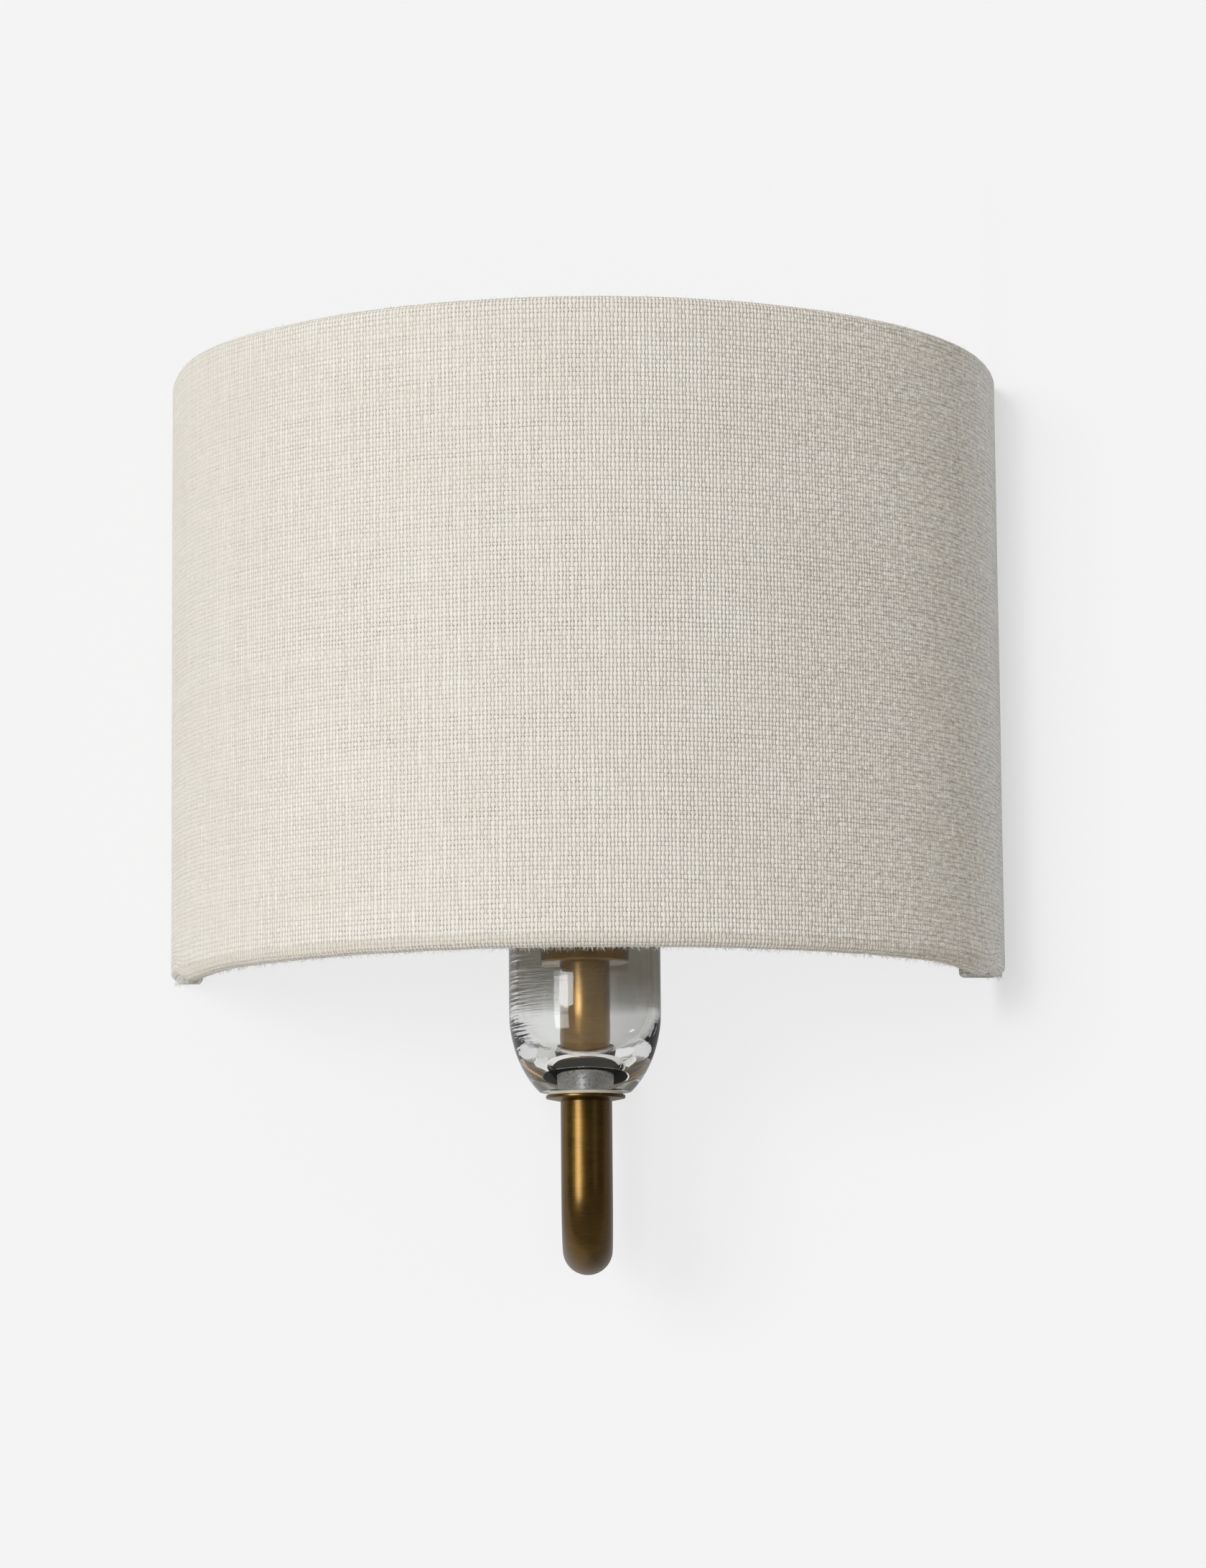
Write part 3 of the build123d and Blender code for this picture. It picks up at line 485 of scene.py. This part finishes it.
# ------------------------------------------------------------------ meshes
def new_object(name, verts, faces, material, uvs=None, smooth=True):
    """A mesh object; uvs holds one list of (u, v) for each face."""
    mesh = bpy.data.meshes.new(name)
    mesh.from_pydata([tuple(p) for p in verts], [], faces)
    if uvs is not None:
        layer = mesh.uv_layers.new(name="cloth")
        corners = np.array([pair for face in uvs for pair in face], dtype=np.float32)
        layer.data.foreach_set("uv", corners.ravel())
    mesh.materials.append(material)
    if smooth:
        mesh.polygons.foreach_set("use_smooth", [True] * len(mesh.polygons))
    mesh.update()
    obj = bpy.data.objects.new(name, mesh)
    bpy.context.scene.collection.objects.link(obj)
    return obj


def arc(cx, cy, radius, start, stop, steps):
    """Points on an arc, both ends included. Angles in degrees."""
    turns = [math.radians(start + (stop - start) * i / steps) for i in range(steps + 1)]
    return [(cx + radius * math.cos(turn), cy + radius * math.sin(turn)) for turn in turns]


def run(p, q, steps):
    """Points between two others, which aren't included."""
    return [(p[0] + (q[0] - p[0]) * i / steps, p[1] + (q[1] - p[1]) * i / steps) for i in range(1, steps)]


def cloth_profile():
    """Closed section of the linen, as (depth in from the outside, height): skin, rolled hems and their undersides."""
    c, far, top = ROLL, HEM, SHADE_H
    outer = run((0, c), (0, top - c), 120)
    top_out = arc(c, top - c, c, 180, 90, 8)
    top_in = arc(far - c, top - c, c, 90, 0, 8)
    top_low = arc(far - c, top - far + c, c, 0, -90, 6)
    inner = run((SKIN, top - far), (SKIN, far), 24)
    low_top = arc(far - c, far - c, c, 90, 0, 6)
    low_in = arc(far - c, c, c, 0, -90, 8)
    low_out = arc(c, c, c, -90, -180, 8)
    inside = [(SKIN, top - far), *inner, (SKIN, far)]
    return outer + top_out + top_in + top_low + inside + low_top + low_in + low_out


def ease(x):
    """From 0 to 1 with a soft start and stop."""
    x = min(max(x, 0.0), 1.0)
    return x * x * (3 - 2 * x)


def corner(inward, radius):
    """How far a rounded corner of this radius rises at this distance in from the edge."""
    left = min(max(radius - inward, 0.0), radius)
    return radius - math.sqrt(radius * radius - left * left)


def skin():
    """The half-round skin with both hems, lumpy as cloth rolled over wire by hand."""
    profile = cloth_profile()
    count = len(profile)
    steps = 420                     # round the half circle
    lengths = [0.0]
    for i in range(1, count):
        lengths.append(lengths[-1] + math.dist(profile[i], profile[i - 1]))
    start = -profile[0][1]
    verts, along = [], []           # along: the way round to each section, for the UV map
    for j in range(steps + 1):
        angle = math.pi * (j / steps - 0.5)
        reach = SHADE_R * angle
        along.append(reach)
        for depth, height in profile:
            rolled = 1.0 - ease(min(height, SHADE_H - height) / (2.2 * HEM))
            lump = 0.0
            if not SKIN * 0.5 < depth < SKIN * 1.5:
                slow = noise.noise(Vector((reach * 26, height * 18, 3.1)))
                roll = noise.noise(Vector((reach * 120, height * 90, depth * 300)))
                quick = noise.noise(Vector((reach * 420, height * 160, depth * 500 + 5)))
                lump = 0.10 * MM * slow + rolled * (0.17 * MM * roll + 0.06 * MM * quick)
            inward = depth + CLEAR - lump * (1 if depth < HEM / 2 else -1)
            up = height
            if depth > 0.6 * MM:
                dip = noise.noise(Vector((reach * 90, 9.0 if height < SHADE_H / 2 else 2.0, 0.5)))
                up += (0.10 * MM * dip + 0.12 * MM) * (1 if height < HEM else -1 if height > SHADE_H - HEM else 0)
            at_end = ease((abs(angle) - 0.95) / 0.35)       # the last 35 degrees or so before an end
            close = ease((abs(angle) - 1.20) / 0.16)        # the last 20 degrees
            from_edge = inward + SHADE_R * (1 - math.sin(abs(angle)))
            lift = END_LIFT[angle > 0] + max(0.0, corner(from_edge, CORNER) - corner(inward, ROLL))
            sag = HEM_SAG + END_SAG[angle > 0] * at_end
            up += (lift * close - sag * (1 - close)) * ease(1 - height / HEM_REACH)
            crest = CREST + LEFT_CREST * ease((-angle - 0.7) / 0.5)
            up += crest * ease(1 - (SHADE_H - height) / HEM_REACH) * (1 - close)
            radius = SHADE_R - inward
            verts.append((radius * math.sin(angle), SHADE_Y - radius * math.cos(angle), HEM_Z + up))
    faces, uvs = [], []
    for j in range(steps):
        for i in range(count):
            k = (i + 1) % count
            faces.append((j * count + i, (j + 1) * count + i, (j + 1) * count + k, j * count + k))
            v0 = lengths[i] - start
            v1 = lengths[k] - start if k else v0 + math.dist(profile[i], profile[0])
            uvs.append([(along[j], v0), (along[j + 1], v0), (along[j + 1], v1), (along[j], v1)])
    for j, order in ((0, 1), (steps, -1)):
        loop = range(count)[::order]
        faces.append(tuple(j * count + i for i in loop))
        uvs.append([(along[j], lengths[i] - start) for i in loop])
    return verts, faces, uvs


def wrap(side):
    """The linen turned in round an end bar, in the plane of the shade's back."""
    edge, back = RETURN_EDGE, RETURN_BACK
    x_out = SHADE_R - CLEAR
    x_in = SHADE_R - RETURN_WIDTH[side]
    front = -RETURN_DEPTH + CLEAR
    centres = ((x_out - edge, back - edge, 0), (x_in + edge, back - edge, 90),
               (x_in + edge, front + edge, 180), (x_out - edge, front + edge, 270))
    rim = []
    for cx, cy, first in centres:
        bend = arc(cx, cy, edge, first, first + 90, 6)
        if rim:
            rim += run(rim[-1], bend[0], 14)
        rim += bend
    turns = [math.radians(90 * i / 8) for i in range(9)]
    rounded = [(RETURN_ROUND * (1 - math.cos(turn)), RETURN_ROUND * (1 - math.sin(turn))) for turn in turns]
    middle = 80                     # rows between the rounded ends
    straight = [(RETURN_ROUND + (SHADE_H - 2 * RETURN_ROUND) * i / middle, 0.0) for i in range(1, middle)]
    column = rounded + straight + [(SHADE_H - z, inset) for z, inset in reversed(rounded)]
    middle_x = (x_out + x_in) / 2
    count = len(rim)
    around = [0.0]
    for i in range(1, count + 1):
        around.append(around[-1] + math.dist(rim[i % count], rim[i - 1]))
    verts, up = [], []
    for z, inset in column:
        share = 1 - inset / (x_out - x_in) * 2
        up.append(z)
        for x, y in rim:
            slow = noise.noise(Vector((x * 60, z * 55, side * 4.0 + y * 90)))
            px = middle_x + (x - middle_x) * share
            low = ease(1 - z / (14 * MM))
            lift = (END_LIFT[side > 0] + max(0.0, corner(x_out - x, CORNER) - corner(x_out - x, RETURN_ROUND))) * low
            py = y + 0.10 * MM * slow * (1 if y < front / 2 else 0)
            verts.append((side * px, SHADE_Y + py, HEM_Z + z + lift))
    faces, uvs = [], []
    base = SHADE_R * math.pi / 2 * side
    for j in range(len(column) - 1):
        for i in range(count):
            k = (i + 1) % count
            quad = (j * count + i, j * count + k, (j + 1) * count + k, (j + 1) * count + i)
            corners = [(base + side * around[i], up[j]), (base + side * around[i + 1], up[j]),
                       (base + side * around[i + 1], up[j + 1]), (base + side * around[i], up[j + 1])]
            faces.append(quad if side > 0 else quad[::-1])
            uvs.append(corners if side > 0 else corners[::-1])
    for j, order in ((0, -1), (len(column) - 1, 1)):
        loop = range(count)[::order * side]
        faces.append(tuple(j * count + i for i in loop))
        uvs.append([(base + side * around[i], up[j]) for i in loop])
    return verts, faces, uvs


def join(*parts):
    """Lists of points, faces and UV pairs run together, for one object."""
    verts, faces, uvs = [], [], []
    for some_verts, some_faces, some_uvs in parts:
        offset = len(verts)
        verts += some_verts
        faces += [tuple(i + offset for i in face) for face in some_faces]
        uvs += some_uvs
    return verts, faces, uvs


def hairs(material):
    """Loose linen fibres that stand off the hems and the skin."""
    verts, faces = [], []

    def hair(start, way, length, thick):
        """A tapering, bent fibre with a three-sided section."""
        bend = Vector([random.uniform(-1, 1) for _ in range(3)]) * 0.7
        side = way.cross(Vector((0.3, 0.2, 1))).normalized()
        other = way.cross(side).normalized()
        first = len(verts)
        rings = 5
        point, going = start.copy(), way.copy()
        for ring in range(rings + 1):
            size = thick * (1 - 0.7 * ring / rings)
            for turn in range(3):
                angle = turn * math.tau / 3
                verts.append(point + size * (math.cos(angle) * side + math.sin(angle) * other))
            going = (going + bend / rings).normalized()
            point = point + going * length / rings
        for ring in range(rings):
            for turn in range(3):
                low, high = first + ring * 3, first + ring * 3 + 3
                nxt = (turn + 1) % 3
                faces.append((low + turn, low + nxt, high + nxt, high + turn))

    for number in range(HEM_HAIRS):
        angle = random.uniform(-1.45, 1.45)
        lower = number % 6 != 0
        depth = random.uniform(0.8, 6.4) * MM
        radius = SHADE_R - depth
        out = Vector((math.sin(angle), -math.cos(angle), 0))
        place = Vector((radius * out.x, SHADE_Y + radius * out.y, HEM_Z + (0.2 * MM - HEM_SAG if lower else SHADE_H)))
        way = (Vector((0, 0, -1 if lower else 1)) + out * random.uniform(-0.5, 0.9)
               + Vector((random.uniform(-0.8, 0.8), random.uniform(-0.8, 0.8), 0))).normalized()
        hair(place, way, random.uniform(0.6, 2.3) * MM, random.uniform(0.04, 0.11) * MM)
    for _ in range(SKIN_HAIRS):
        angle = random.uniform(-1.5, 1.5)
        out = Vector((math.sin(angle), -math.cos(angle), 0))
        height = random.uniform(4, 237) * MM
        place = Vector((SHADE_R * out.x, SHADE_Y + SHADE_R * out.y, HEM_Z + height)) - out * 0.15 * MM
        side = Vector((math.cos(angle), math.sin(angle), 0))
        way = (out * 0.55 + side * random.uniform(-1, 1) + Vector((0, 0, random.uniform(-1, 1)))).normalized()
        hair(place, way, random.uniform(0.4, 1.1) * MM, random.uniform(0.014, 0.024) * MM)
    return new_object("shade_loose_fibres", verts, faces, material)


def shade():
    """The linen and its loose fibres, in place of the plain CAD cloth."""
    material = linen()
    verts, faces, uvs = join(skin(), wrap(-1), wrap(1))
    cloth = new_object("shade_linen", verts, faces, material, uvs)
    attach(cloth, "light")
    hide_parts("shade_fabric")
    loose = hairs(fibre())
    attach(loose, "light")


# ------------------------------------------------------------------ studio
def studio():
    """A plain pale wall behind the light, even daylight all round and one soft sun from the left."""
    size = WALL_HALF
    wall = new_object("wall_backdrop", [(-size, 0, -size), (size, 0, -size), (size, 0, size), (-size, 0, size)],
                      [(0, 1, 2, 3)], wall_paint(), smooth=False)
    wall.location.y = WALL_GAP
    data = bpy.data.lights.new("key", "SUN")
    data.energy = KEY_ENERGY
    data.angle = KEY_ANGLE
    lamp = bpy.data.objects.new("key", data)
    bpy.context.scene.collection.objects.link(lamp)
    flat = math.cos(KEY_HEIGHT)
    toward = Vector((math.sin(KEY_YAW) * flat, -math.cos(KEY_YAW) * flat, math.sin(KEY_HEIGHT)))
    lamp.rotation_euler = toward.to_track_quat("Z", "Y").to_euler()
    lamp.visible_glossy = False
    sky()


def wall_paint():
    """White wall. Seen directly it is mostly its own plain white, with a faint share of real shadow; the share is
    larger close beside the right edge of the shade and round the arm. Through glass it darkens and browns towards the
    shade, a painted shade. From behind, the camera looks through it."""
    s = Shader("wall_paint")
    here = s.place()
    x, _, z = s.split(here)
    fine = s.noise(here, 900.0, 2.0)

    # The share of real shadow
    beside = s.times(s.fit(x, SHADE_R - 6 * MM, SHADE_R, smooth=True),
                     s.fit(x, SHADE_R + 19 * MM, SHADE_R + 1 * MM, smooth=True),
                     s.fit(z, HEM_Z - 22 * MM, HEM_Z - 2 * MM, smooth=True))
    off_arm = s.math("ABSOLUTE", s.math("SUBTRACT", z, HEM_Z - 75 * MM))
    by_arm = s.times(s.fit(s.math("ABSOLUTE", x), 26 * MM, 12 * MM, smooth=True),
                     s.fit(off_arm, 50 * MM, 30 * MM, smooth=True))
    share = s.math("MULTIPLY_ADD", by_arm, 0.15, s.math("MULTIPLY_ADD", beside, 0.28, 0.145))

    # What looks at the wall: the camera, glass, a mirroring surface, or light on its way to other things.
    # A ray that passes through glass counts as glossy too.
    path = s.rays()
    through = path["Is Transmission Ray"]
    mirrored = s.times(path["Is Glossy Ray"], s.rest(through))
    # In mirrors the wall is dimmer, and dimmer still towards the right: painted shadow in its reflection.
    mirror_dim_and_shadow = s.fit(x, -60 * MM, 60 * MM, 0.64, 0.30)
    seen = s.math("MULTIPLY_ADD", mirrored, mirror_dim_and_shadow, path["Is Camera Ray"])
    other = s.math("SUBTRACT", s.math("SUBTRACT", s.rest(path["Is Camera Ray"]), mirrored), through)

    # How much of its own white the wall has through the glass; less towards the shade, where painted shade takes its
    # place
    away = s.fit(x, -4 * MM, 16 * MM, smooth=True)
    clear = s.fit(s.math("MULTIPLY_ADD", away, 5 * MM, z), HEM_Z + 9 * MM, HEM_Z - 30 * MM, smooth=True)
    clear = s.times(clear, s.math("MULTIPLY_ADD", away, -0.32, 0.76))

    glow = s.times(s.rest(share), BACKGROUND, seen)
    glow = s.math("MULTIPLY_ADD", s.times(clear, BACKGROUND), through, glow)
    tint = s.math("MULTIPLY_ADD", other, WALL_BOUNCE, s.times(share, WALL_IN_SHADE, seen))
    tint = s.math("MULTIPLY_ADD", s.times(s.rest(clear), WALL_SHADE_IN_GLASS), through, tint)
    tint = s.times(tint, s.fit(fine, 0.0, 1.0, 0.997, 1.003))
    # The painted shade through the glass is also browner.
    painted_glass_shade = s.times(s.rest(clear), through)
    green, blue = (s.times(tint, s.math("MULTIPLY_ADD", painted_glass_shade, loss, 1.0)) for loss in (-0.08, -0.22))
    s.set(Base_Color=s.combine(tint, green, blue), Roughness=0.9, Specular_IOR_Level=0.0)
    s.set(Emission_Color=(1, 1, 1), Emission_Strength=glow)

    backfacing = s.nodes.new("ShaderNodeNewGeometry").outputs["Backfacing"]
    see_through = s.nodes.new("ShaderNodeBsdfTransparent").outputs[0]
    s.put(s.output.inputs[0], s.either(s.times(backfacing, path["Is Camera Ray"]), s.bsdf.outputs[0], see_through))
    return s.mat


def sky():
    """Plain white light, with a dim studio and soft boxes for what metal and glass mirror."""
    s = Shader("studio", "World")
    bpy.context.scene.world = s.mat
    x, y, z = s.split(s.nodes.new("ShaderNodeTexCoord").outputs["Generated"])
    yaw = s.math("ARCTAN2", x, s.times(y, -1.0))
    height = s.math("ARCSINE", z)

    def background(strength, colour=(1, 1, 1), node=None):
        node = node or s.nodes.new("ShaderNodeBackground")
        s.put(node.inputs[0], colour)
        s.put(node.inputs[1], strength)
        return node.outputs[0]

    def softbox(*sides, strength):
        """A patch of light with soft edges."""
        left, right, low, high, edge = (math.radians(v) for v in (*sides, SOFTBOX_EDGE))
        across = s.times(s.fit(yaw, left, left + edge, smooth=True), s.fit(yaw, right, right - edge, smooth=True))
        return s.times(across, s.fit(height, low, low + edge, smooth=True),
                       s.fit(height, high, high - edge, smooth=True), strength)

    first, second, third = (softbox(*sides, strength=strength) for *sides, strength in SOFTBOXES)
    glow = s.math("ADD", s.math("ADD", first, second), third)
    glow = s.math("ADD", glow, s.fit(height, 0.15, -0.5, 0.10, 0.24))
    path = s.rays()
    through = path["Is Transmission Ray"]
    daylight = background(s.math("MULTIPLY_ADD", through, LIGHT_IN_GLASS, DAYLIGHT), node=s.nodes["Background"])
    mirror = s.times(path["Is Glossy Ray"], s.rest(through))
    unseen = s.either(mirror, daylight, background(glow, STUDIO_GREY))
    s.put(s.output.inputs[0], s.either(path["Is Camera Ray"], unseen, background(BACKGROUND)))


bpy.context.scene.view_settings.view_transform = "Standard"
camera()
dress_nodes()
shade()
studio()
